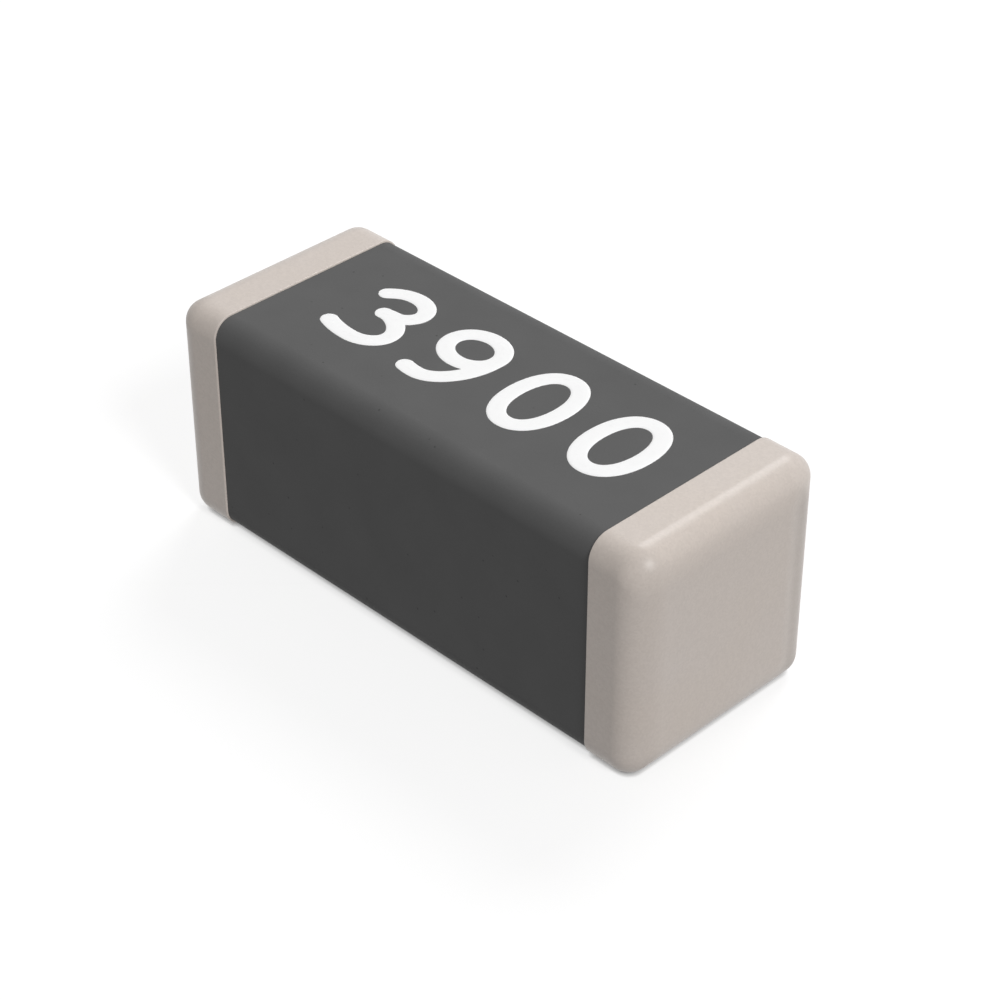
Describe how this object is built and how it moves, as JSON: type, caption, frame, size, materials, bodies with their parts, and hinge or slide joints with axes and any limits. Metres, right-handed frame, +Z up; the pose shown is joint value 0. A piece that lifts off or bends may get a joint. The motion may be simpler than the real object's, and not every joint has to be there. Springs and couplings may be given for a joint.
{
  "type": "smd inductor",
  "caption": "Rectangular surface-mount chip inductor: dark ferrite block with rounded edges, a printed silver coil sealed inside and a tin-plated cap over each end.",
  "frame": {"origin": "middle of the chip, where a placing machine takes it, half its height above the circuit board that the two end caps rest on", "axes": "+X along the chip, from the end where the coil starts to the end where it finishes; +Y across the chip; +Z up from the board, along the axis of the coil"},
  "size_m": [0.0018, 0.0006, 0.0006],
  "materials": {
    "ferrite": "satin",
    "printed_silver": "matte",
    "dipped_silver": "matte",
    "nickel_plating": "satin",
    "tin_plating": "satin"
  },
  "bodies": {
    "root": {"ferrite_body": "ferrite", "coil_layer_01": "printed_silver", "coil_layer_02": "printed_silver", "coil_layer_03": "printed_silver", "coil_layer_04": "printed_silver", "coil_layer_05": "printed_silver", "coil_layer_06": "printed_silver", "coil_layer_07": "printed_silver", "coil_layer_08": "printed_silver", "coil_layer_09": "printed_silver", "coil_layer_10": "printed_silver", "coil_layer_11": "printed_silver", "coil_layer_12": "printed_silver", "coil_layer_13": "printed_silver", "coil_layer_14": "printed_silver", "left_silver_base": "dipped_silver", "left_nickel_barrier": "nickel_plating", "left_tin_plating": "tin_plating", "right_silver_base": "dipped_silver", "right_nickel_barrier": "nickel_plating", "right_tin_plating": "tin_plating"}
  },
  "joints": []
}
